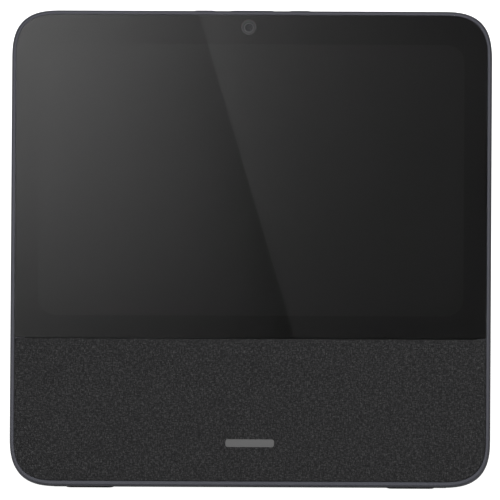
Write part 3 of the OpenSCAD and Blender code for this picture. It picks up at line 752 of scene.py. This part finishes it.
class DISPLAY_OT_front_frame(bpy.types.Operator):
    """Models the front frame with its rim, ledge and the openings in its top edge"""
    bl_idname = "smart_display.front_frame"
    bl_label = "Front frame"

    def execute(self, context):
        face = context.scene.display_face
        slope_in, slope_deep = 0.75 * MM, 1.8 * MM
        piece = upright_plate("front_frame", FACE_WIDTH, 0, face.height, face.corner, face.corner,
                              slope_deep, FRAME_DEPTH - slope_deep)
        select_where(piece, "faces", at_depth(slope_deep))
        extrude((0, -slope_deep, 0))
        bpy.ops.transform.resize(
            value=(1 - 2 * slope_in / FACE_WIDTH, 1, 1 - 2 * slope_in / face.height),
            center_override=(0, 0, face.height / 2))
        leave_edit()
        tidy_mesh(piece)
        bevel_where(piece, lambda at, part: min(abs(at.y), abs(at.y - slope_deep)) < NEAR,
                    0.2 * MM, 3)
        bevel_where(piece, at_depth(FRAME_DEPTH), 0.15 * MM, 2)
        inner = face.corner - face.rim
        pocket = upright_plate("pocket", FACE_WIDTH - 2 * face.rim, face.rim_low,
                               face.height - face.rim, inner, inner, -3 * MM, 5 * MM)
        hollow = upright_plate("hollow", FACE_WIDTH - 14 * MM, 9 * MM, face.height - 13 * MM,
                               12 * MM, 12 * MM, 1 * MM, 9 * MM)
        bay = upright_plate("bay", 120 * MM, face.height - 14 * MM, face.height - face.rim,
                            0, 0, 3 * MM, 8 * MM)
        camera_hole = turned("camera_hole", [(0, 0), (4.2, 0), (4.2, 5), (0, 5)], CAMERA_AT)
        cutters = [pocket, hollow, bay, camera_hole]
        for node in ("volume_down_button", "volume_up_button"):
            cutters.append(cap_shape(node, 0.1 * MM, face.height - face.rim - 2 * MM, 8 * MM))
        travel = joint("shutter_slide")["range_m"][1]
        recess = flat_block("recess", SLIDER_LENGTH + travel + 0.3 * MM, CAP_WIDTH + 0.3 * MM, 1,
                            face.height - CAP_SINK, 6 * MM, travel / 2, CAP_Y)
        stem_slot = flat_block("stem_slot", 7.3 * MM + travel, 2.7 * MM, 1, face.height - 4 * MM,
                               6 * MM, travel / 2, CAP_Y)
        cutters += [recess, stem_slot]
        for side in (-1, 1):
            cutters.append(flat_block("mic_hole", 1.2 * MM, 1.2 * MM, 1, face.height - 4 * MM,
                                      6 * MM, side * 45 * MM, CAP_Y))
        boolean(piece, cutters)
        bevel_where(piece, lambda at, part: abs(at.y) < NEAR and part.calc_face_angle(0) > 1,
                    0.2 * MM, 3)
        finish_piece(piece, "rim", HOUSING, ["mid_frame"], FACE)
        return {"FINISHED"}


class DISPLAY_OT_rear_cover(bpy.types.Operator):
    """Models the rear half of the slab with its rounded back edge"""
    bl_idname = "smart_display.rear_cover"
    bl_label = "Rear cover"

    def execute(self, context):
        face = context.scene.display_face
        piece = upright_plate("back_cover", FACE_WIDTH, 0, face.height, face.corner, face.corner,
                              FRAME_DEPTH, SLAB_DEPTH - FRAME_DEPTH)
        bevel_where(piece, at_depth(SLAB_DEPTH), 3 * MM, 10)
        bevel_where(piece, at_depth(FRAME_DEPTH), 0.15 * MM, 2)
        cavity = upright_plate("cavity", FACE_WIDTH - 4 * MM, 2.4 * MM, face.height - 2 * MM,
                               face.corner - 2 * MM, face.corner - 2 * MM, 5 * MM, 5 * MM)
        speaker_way = upright_plate("speaker_way", 176 * MM, 9.2 * MM, 69.8 * MM, 1 * MM, 1 * MM,
                                    9 * MM, 6 * MM)
        cable_way = upright_plate("cable_way", 110 * MM, 82 * MM, 138 * MM, 4 * MM, 4 * MM,
                                  9 * MM, 6 * MM)
        boolean(piece, [cavity, speaker_way, cable_way])
        finish_piece(piece, "shell", HOUSING, ["rear_cover"], FACE)
        return {"FINISHED"}


class DISPLAY_OT_cover_glass(bpy.types.Operator):
    """Models the cover glass with its polished edge"""
    bl_idname = "smart_display.cover_glass"
    bl_label = "Cover glass"

    def execute(self, context):
        face = context.scene.display_face
        gap = 0.1 * MM
        corner = face.corner - face.rim - gap
        piece = upright_plate("glass_sheet", FACE_WIDTH - 2 * (face.rim + gap), face.seam,
                              face.height - face.rim - gap, 0.8 * MM, corner, GLASS_Y,
                              GLASS_THICK)
        bevel_where(piece, lambda at, part: abs(at.y - GLASS_Y) < NEAR
                    and at.z > face.seam + 0.5 * MM, 0.2 * MM, 4)
        finish_piece(piece, "glass", HOUSING, ["cover_glass"], FACE)
        return {"FINISHED"}


class DISPLAY_OT_camera(bpy.types.Operator):
    """Models the camera's ring, lens and stepped barrel behind the glass"""
    bl_idname = "smart_display.camera"
    bl_label = "Camera"

    def execute(self, context):
        ring = turned("camera_ring", [
            (2.9, 1.8), (2.92, 1.55), (3.0, 1.45), (3.78, 1.45), (3.87, 1.55), (3.87, 1.98),
            (2.9, 1.98), (2.9, 1.8)], CAMERA_AT)
        finish_piece(ring, "trim", HOUSING, ["camera_trim_ring"], FACE)
        dome_radius, middle = 3.6, 7.6
        turns = [math.radians(3.55 * step) for step in range(9)]
        dome = [(dome_radius * math.sin(turn), middle - dome_radius * math.cos(turn))
                for turn in turns]
        lens = turned("camera_dome", [*dome, (1.9, 4.55), (1.9, 5.08), (0, 5.08)], CAMERA_AT)
        finish_piece(lens, "lens", HOUSING, ["camera_lens"], FACE)
        # Lip at the barrel's front: its light grey finish is partly a painted highlight, because
        # the lip lies in shade behind the glass.
        lip = turned("camera_lip", [
            (2.0, 4.3), (2.0, 4.0), (2.06, 3.92), (2.55, 3.92), (2.65, 4.1), (2.65, 4.3),
            (2.0, 4.3)], CAMERA_AT)
        finish_piece(lip, "barrel", HOUSING, ["camera_barrel"], FACE)
        barrel = turned("camera_tube", [
            (2.0, 5.1), (2.0, 4.32), (2.8, 4.32), (2.9, 4.42), (2.9, 7.5), (0, 7.5), (0, 7),
            (1.1, 7), (1.2, 5.2), (1.3, 5.1), (2.0, 5.1)], CAMERA_AT)
        finish_piece(barrel, "black", HOUSING, ["camera_barrel"], FACE)
        return {"FINISHED"}


class DISPLAY_OT_top_controls(bpy.types.Operator):
    """Models the volume buttons and the camera's shutter slider"""
    bl_idname = "smart_display.top_controls"
    bl_label = "Top controls"

    def execute(self, context):
        face = context.scene.display_face
        under = face.height - face.rim
        for body in ("volume_down", "volume_up"):
            node = body + "_button"
            cap = cap_shape(node, 0, under - 0.7 * MM, face.rim + 0.7 * MM + CAP_PROUD)
            top = under + face.rim + CAP_PROUD
            bevel_where(cap, at_height(top), 0.3 * MM, 4)
            x = middle_of(node).x
            flange = flat_block("flange", 11.9 * MM, 4.2 * MM, 0.4 * MM, under - 1 * MM,
                                0.95 * MM, x, CAP_Y + 0.6 * MM, 3)
            nib = flat_block("nib", 2.2 * MM, 2.2 * MM, 1.1 * MM, under - 1.8 * MM, 1.2 * MM, x,
                             CAP_Y)
            boolean(cap, [flange, nib], "UNION")
            cap.name = body + "_cap"
            finish_piece(cap, "cap", body, [node], FACE)
        cap_base = face.height - CAP_SINK + 0.05 * MM
        slider = flat_block("shutter_cap", SLIDER_LENGTH, CAP_WIDTH, 1, cap_base,
                            CAP_SINK - 0.05 * MM + CAP_PROUD, 0, CAP_Y)
        top = face.height + CAP_PROUD
        bevel_where(slider, at_height(top), 0.3 * MM, 4)
        ribs = [flat_block("rib", 0.5 * MM, 2.6 * MM, 0.2 * MM, top - 0.18 * MM, 1 * MM,
                           place * 1.2 * MM, CAP_Y, 3) for place in range(-3, 4)]
        boolean(slider, [join("ribs", ribs)])
        stem = flat_block("stem", 7 * MM, 2.4 * MM, 1, under - 0.5 * MM, 1.6 * MM, 0, CAP_Y)
        flange = flat_block("flange", 18 * MM, 4 * MM, 0.4 * MM, under - 1 * MM, 0.9 * MM, 0,
                            CAP_Y + 0.45 * MM, 3)
        boolean(slider, [stem, flange], "UNION")
        finish_piece(slider, "cap", "shutter", ["shutter_slider"], FACE)
        return {"FINISHED"}


class DISPLAY_OT_fabric_front(bpy.types.Operator):
    """Models the fabric stretched over the grille plate, and the blank bar on it"""
    bl_idname = "smart_display.fabric_front"
    bl_label = "Fabric front"

    def execute(self, context):
        face = context.scene.display_face
        gap = 0.25 * MM
        width = FACE_WIDTH - 2 * (face.rim + gap)
        low, high = face.rim_low + 0.3 * MM, face.seam - 0.3 * MM
        corner = face.corner - face.rim - 0.4 * MM
        tuck = 1.7 * MM
        piece = upright_plate("fabric_sheet", width, low, high, corner, 0.9 * MM, GLASS_Y, tuck)
        bevel_where(piece, at_depth(GLASS_Y), 0.6 * MM, 5)
        select_where(piece, "faces", at_depth(GLASS_Y + tuck))
        bpy.ops.mesh.delete(type="FACE")
        leave_edit()
        modify(piece, "SOLIDIFY", thickness=0.5 * MM, offset=-1)
        finish_piece(piece, "fabric", HOUSING, ["fabric_cover"], FACE)
        raised = 0.25 * MM
        bar = upright_plate("blank_bar", 24.8 * MM, 19.9 * MM, 23.9 * MM, 1.2 * MM, 1.2 * MM,
                            GLASS_Y - raised, raised, steps=6)
        bevel_where(bar, at_depth(GLASS_Y - raised), 0.12 * MM, 3)
        finish_piece(bar, "bar", HOUSING, ["name_bar"], FACE)
        return {"FINISHED"}


def rear_reach(pod, z, inset):
    """How far back the pod's wall lies at height z above the table, from the heel up."""
    radius = pod.back_radius - inset
    rise = z - FOOT_GAP - pod.heel
    return POD_REACH - pod.back_radius + math.sqrt(radius ** 2 - rise ** 2)


def pod_plan(pod, name, inset, low, high):
    """Upright block with the pod's outline in plan, drawn in by inset."""
    reach = POD_REACH - inset
    piece = rectangle(name, (0, reach / 2, low), POD_WIDTH - 2 * inset, reach)
    select_where(piece, "verts", lambda at, part: at.y > reach / 2)
    bpy.ops.mesh.bevel(offset=pod.corner - inset, segments=20, profile=0.5, affect="VERTICES")
    leave_edit()
    extrude_all(piece, (0, 0, high - low))
    return piece


def pod_solid(pod, name, inset, top):
    """The pod's form, drawn in by inset: its plan raised level by level, and its heel rounded."""
    low, heel_z = FOOT_GAP + inset, FOOT_GAP + pod.heel
    steps = 34
    levels = [heel_z + (top - heel_z) * step / steps for step in range(steps + 1)]
    piece = pod_plan(pod, name, inset, low, heel_z)
    for below, above in zip(levels, levels[1:]):
        select_where(piece, "faces",
                     lambda at, part: abs(at.z - below) < 1e-5 and part.normal.z > 0.99)
        extrude((0, 0, above - below))
        grow = rear_reach(pod, above, inset) / rear_reach(pod, below, inset)
        bpy.ops.transform.resize(value=(1, grow, 1), center_override=(0, 0, above))
        leave_edit()
    tidy_mesh(piece)
    heel_y = POD_REACH - pod.heel
    corner = flat_block("corner", POD_WIDTH + 10 * MM, 30 * MM, 0.5 * MM, low - 5 * MM,
                        heel_z - low + 5 * MM, 0, heel_y + 15 * MM, 2)
    clear_selection()
    bpy.ops.mesh.primitive_cylinder_add(vertices=128, radius=pod.heel - inset, depth=0.3,
                                        location=(0, heel_y, heel_z), rotation=(0, math.pi / 2, 0))
    roll = bpy.context.object
    settle(roll)
    return boolean(piece, [boolean(corner, [roll])])


def behind_slab(piece):
    """Cuts away what lies in front of the slab's back, and closes the cut."""
    select_where(piece, "faces", anywhere)
    slope = Vector((0, math.cos(LEAN), -math.sin(LEAN)))
    start = Vector((0, 0, FACE_Z)) + slope * SLAB_DEPTH
    bpy.ops.mesh.bisect(plane_co=start, plane_no=slope, use_fill=True, clear_inner=True)
    leave_edit()
    tidy_mesh(piece)
    return piece


def through_block(name, width, height, radius, z, y=60 * MM, depth=60 * MM, x=0.0, steps=12):
    """Upright cutter that runs along the table's Y axis."""
    radius = min(radius, width / 2 - NEAR, height / 2 - NEAR)
    return upright_plate(name, width, z - height / 2, z + height / 2, radius, radius, y, depth, x,
                         steps)


def slot_row(height, z, beside):
    """Cutter for a row of upright slots: one in the middle and some beside it on either hand."""
    pitch_mm = 4.2
    return join("slots", [through_block("slot", 1.8 * MM, height, 1, z, x=place * pitch_mm * MM,
                                        steps=5) for place in range(-beside, beside + 1)])


def rear_opening(node):
    """Width, height and middle height of what fills an opening in the pod's back."""
    low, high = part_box(node)
    return high.x * 2, high.z - low.z, (high.z + low.z) / 2


class DISPLAY_OT_pod(bpy.types.Operator):
    """Models the pod's shell, its rear grille and the sunken power panel"""
    bl_idname = "smart_display.pod"
    bl_label = "Pod"

    def execute(self, context):
        pod = context.scene.display_pod
        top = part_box("pod_shell")[1].z
        grille_width, grille_height, grille_z = rear_opening("rear_grille")
        panel_width, panel_height, panel_z = rear_opening("port_panel")
        panel_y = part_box("port_panel")[0].y - SHIFT_Y
        shell = behind_slab(pod_solid(pod, "pod_housing", 0, top))
        core = pod_solid(pod, "core", pod.wall, top)
        sole = pod_plan(pod, "sole", pod.wall, -2 * MM, 8 * MM)
        heel = flat_block("heel", POD_WIDTH, 40 * MM, 1 * MM, -4 * MM, 20 * MM, 0,
                          POD_REACH - pod.heel - pod.wall + 20 * MM)
        boolean(sole, [heel])
        grille_way = through_block("grille_way", grille_width + 0.4 * MM, grille_height + 0.4 * MM,
                                   1, grille_z, 80 * MM)
        panel_way = through_block("panel_way", panel_width + 0.2 * MM, panel_height + 0.2 * MM,
                                  3.1 * MM, panel_z)
        vents = slot_row(12 * MM, 132 * MM, 12)
        boolean(shell, [core, sole, grille_way, panel_way, vents])
        soften(shell, 0.3 * MM, 2, 55)
        finish_piece(shell, "shell", HOUSING, ["pod_shell"], TABLE, 32)

        skin = pod_solid(pod, "rear_slats", 0.6 * MM, top)
        core = pod_solid(pod, "core", pod.wall, top)
        blank = through_block("blank", grille_width, grille_height, 1, grille_z, 90 * MM, 20 * MM)
        boolean(skin, [core])
        boolean(skin, [blank], "INTERSECT")
        boolean(skin, [slot_row(grille_height - 8 * MM, grille_z, 11)])
        soften(skin, 0.25 * MM, 2, 55)
        finish_piece(skin, "black", HOUSING, ["rear_grille"], TABLE, 32)

        cup = pod_solid(pod, "port_cup", 0, top)
        blank = through_block("blank", panel_width, panel_height, 3 * MM, panel_z, panel_y,
                              20 * MM)
        recess = through_block("recess", panel_width - 3 * MM, panel_height - 3 * MM, 1.5 * MM,
                               panel_z, panel_y + 2 * MM, 20 * MM)
        inlet = turned("inlet", [(0, 80), (4, 80), (4, 100), (0, 100)], (0, panel_z))
        boolean(cup, [blank], "INTERSECT")
        boolean(cup, [recess, inlet])
        soften(cup, 0.3 * MM, 3, 55)
        finish_piece(cup, "black", HOUSING, ["port_panel"], TABLE, 32)
        return {"FINISHED"}


class DISPLAY_OT_feet(bpy.types.Operator):
    """Models the rubber feet with their round corners and softened lower edges"""
    bl_idname = "smart_display.feet"
    bl_label = "Feet"

    def execute(self, context):
        low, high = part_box("front_feet")
        foot_z = high.z
        foot_width = 9.6 * MM
        middle_y = (low.y + high.y) / 2 - SHIFT_Y
        length = 24.8 * MM
        foot = flat_block("front_foot_right", length, foot_width, 3 * MM, 0, foot_z,
                          high.x - length / 2, middle_y)
        bevel_where(foot, at_height(0), 0.25 * MM, 4)
        twin = copy_of(foot, "front_foot_left", Matrix.Translation((length - 2 * high.x, 0, 0)))
        for piece in (foot, twin):
            finish_piece(piece, "rubber", HOUSING, ["front_feet"], TABLE)
        low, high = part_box("rear_foot")
        strip = flat_block("rear_strip", high.x - low.x, high.y - low.y, 3.9 * MM, 0, high.z, 0,
                           (low.y + high.y) / 2 - SHIFT_Y)
        bevel_where(strip, at_height(0), 0.25 * MM, 4)
        finish_piece(strip, "rubber", HOUSING, ["rear_foot"], TABLE)
        return {"FINISHED"}


# ---------- Stage ----------

VIEW_YAW = math.radians(1.5)
VIEW_RISE = LEAN - math.radians(4)
VIEW_ROLL = math.radians(-0.05)
VIEW_DISTANCE = 11.5
FRAMED_WIDTH = 255.0 * MM
SENSOR = 36.0
CARD_DISTANCE = 3.0
AMBIENT, BACKDROP = 0.08, 1.02

# Name, direction from the display, distance and size in metres, power in watts
SOFTBOXES = (
    ("front", (-0.05, -0.95, 0.30), 3.4, (2.0, 2.0), 98),
    ("overhead", (0.1, 0.15, 1.0), 1.8, (2.4, 2.4), 3),
    ("rear", (0.15, 0.9, 0.6), 1.8, (1.2, 1.0), 12),
)


def add_softbox(name, direction, distance, size, power, target):
    lamp = bpy.data.lights.new(name, "AREA")
    lamp.shape = "RECTANGLE"
    lamp.size, lamp.size_y = size
    lamp.energy = power
    holder = bpy.data.objects.new(name, lamp)
    bpy.context.scene.collection.objects.link(holder)
    back = Vector(direction).normalized()
    holder.location = target + back * distance
    holder.rotation_euler = back.to_track_quat("Z", "Y").to_euler()
    holder.visible_camera = False
    holder.visible_glossy = False


def card_material(scale):
    """Light card whose brightness falls off along the face, with one slanting edge."""
    made, tree, shader = material_base("Light card")
    tree.nodes.remove(shader)
    at = tree.nodes.new("ShaderNodeSeparateXYZ")
    tree.links.new(mapped(tree, object_place(tree), scale=(1 / scale, 1 / scale, 1)), at.inputs[0])
    x, up = at.outputs["X"], at.outputs["Y"]
    fade = ramp(tree, up, 112 * MM, -41 * MM, 1.0, 0.277)
    left = ramp(tree, x, -117 * MM, 26.5 * MM, 1.13, 0.0)
    past = math_node(tree, "ADD", x, 10.6 * MM)
    decay = math_node(tree, "EXPONENT", math_node(tree, "MULTIPLY", past, -1 / (61 * MM)))
    right = math_node(tree, "MULTIPLY_ADD", decay, 0.48, 0.012)
    edge = math_node(tree, "MULTIPLY_ADD", up, 0.309, x)
    side = ramp(tree, edge, 8.6 * MM, 9.4 * MM)
    both = tree.nodes.new("ShaderNodeMix")
    tree.links.new(side, both.inputs[0])
    tree.links.new(left, both.inputs[2])
    tree.links.new(right, both.inputs[3])
    glow = tree.nodes.new("ShaderNodeEmission")
    tree.links.new(math_node(tree, "MULTIPLY", both.outputs[0], fade), glow.inputs["Strength"])
    tree.links.new(glow.outputs[0], tree.nodes["Material Output"].inputs["Surface"])
    return made


def floor_material():
    made, tree, shader = material_base("Pale floor")
    cloud = ramp(tree, noise(tree, object_place(tree), 3.0), 0.3, 0.7)
    tone = mix_colour(tree, cloud, (0.59, 0.59, 0.59, 1), (0.61, 0.61, 0.61, 1))
    tree.links.new(tone, shader.inputs["Base Color"])
    shader.inputs["Roughness"].default_value = 0.9
    shader.inputs["Emission Color"].default_value = (1, 1, 1, 1)
    path = tree.nodes.new("ShaderNodeLightPath")
    tree.links.new(path.outputs["Is Camera Ray"], shader.inputs["Emission Strength"])
    return made


class DISPLAY_OT_stage(bpy.types.Operator):
    """Sets the pale floor, the soft light and the camera"""
    bl_idname = "smart_display.stage"
    bl_label = "Stage"

    def execute(self, context):
        scene = context.scene
        face = scene.display_face
        clear_selection()
        bpy.ops.mesh.primitive_plane_add(size=12, location=(0, 0, 0))
        floor = context.object
        floor.name = "floor"
        floor.data.materials.append(floor_material())

        to_camera = Vector((math.sin(VIEW_YAW) * math.cos(VIEW_RISE),
                            -math.cos(VIEW_YAW) * math.cos(VIEW_RISE), math.sin(VIEW_RISE)))
        target = FACE @ Vector((-0.4 * MM, 0, 120.6 * MM))
        lens = bpy.data.cameras.new("camera")
        lens.sensor_width = SENSOR
        lens.lens = SENSOR * VIEW_DISTANCE / FRAMED_WIDTH
        lens.clip_end = 60
        camera = bpy.data.objects.new("camera", lens)
        scene.collection.objects.link(camera)
        camera.matrix_world = (
            Matrix.Translation(target + to_camera * VIEW_DISTANCE)
            @ to_camera.to_track_quat("Z", "Y").to_matrix().to_4x4()
            @ Matrix.Rotation(VIEW_ROLL, 4, "Z"))
        scene.camera = camera

        normal = FACE.to_3x3() @ Vector((0, -1, 0))
        mirrored = (-to_camera).reflect(normal)
        scale = 1 + CARD_DISTANCE / VIEW_DISTANCE
        clear_selection()
        bpy.ops.mesh.primitive_plane_add(size=1.6)
        card = context.object
        card.name = "light_card"
        middle = FACE @ Vector((0, 0, face.height / 2))
        card.matrix_world = (Matrix.Translation(middle + mirrored * CARD_DISTANCE)
                             @ mirrored.to_track_quat("Z", "Y").to_matrix().to_4x4())
        card.data.materials.append(card_material(scale))
        card.visible_camera = False
        card.visible_diffuse = False
        card.visible_shadow = False

        for name, direction, distance, size, power in SOFTBOXES:
            add_softbox(name, direction, distance, size, power, middle)

        world = bpy.data.worlds.new("studio")
        scene.world = world
        world.use_nodes = True
        tree = world.node_tree
        backdrop = tree.nodes["Background"]
        path = tree.nodes.new("ShaderNodeLightPath")
        seen = tree.nodes.new("ShaderNodeMix")
        tree.links.new(path.outputs["Is Camera Ray"], seen.inputs[0])
        seen.inputs[2].default_value = AMBIENT
        seen.inputs[3].default_value = BACKDROP
        tree.links.new(seen.outputs[0], backdrop.inputs["Strength"])
        backdrop.inputs["Color"].default_value = (1, 1, 1, 1)
        scene.view_settings.view_transform = "Standard"
        scene.view_settings.look = "None"
        return {"FINISHED"}


# ---------- Add-on ----------

OPERATORS = (
    DISPLAY_OT_stage, DISPLAY_OT_inner_finishes, DISPLAY_OT_front_frame, DISPLAY_OT_rear_cover,
    DISPLAY_OT_cover_glass, DISPLAY_OT_camera, DISPLAY_OT_top_controls, DISPLAY_OT_fabric_front,
    DISPLAY_OT_pod, DISPLAY_OT_feet,
)


class DISPLAY_PT_build(bpy.types.Panel):
    bl_idname = "DISPLAY_PT_build"
    bl_label = "Smart Display"
    bl_space_type = "VIEW_3D"
    bl_region_type = "UI"
    bl_category = "Smart Display"

    def draw(self, context):
        layout = self.layout
        for title, sizes in (("Face", context.scene.display_face),
                             ("Pod", context.scene.display_pod),
                             ("Finishes", context.scene.display_finishes)):
            box = layout.box()
            box.label(text=title)
            for name in sizes.__annotations__:
                box.prop(sizes, name)
        for operator in OPERATORS:
            layout.operator(operator.bl_idname)


CLASSES = (FaceSizes, PodSizes, Finishes, *OPERATORS, DISPLAY_PT_build)


def register():
    for made in CLASSES:
        bpy.utils.register_class(made)
    bpy.types.Scene.display_face = PointerProperty(type=FaceSizes)
    bpy.types.Scene.display_pod = PointerProperty(type=PodSizes)
    bpy.types.Scene.display_finishes = PointerProperty(type=Finishes)


def unregister():
    del bpy.types.Scene.display_finishes
    del bpy.types.Scene.display_pod
    del bpy.types.Scene.display_face
    for made in reversed(CLASSES):
        bpy.utils.unregister_class(made)


def main():
    register()
    build_materials()
    for operator in OPERATORS:
        group, name = operator.bl_idname.split(".")
        getattr(getattr(bpy.ops, group), name)()


if __name__ == "__main__":
    main()
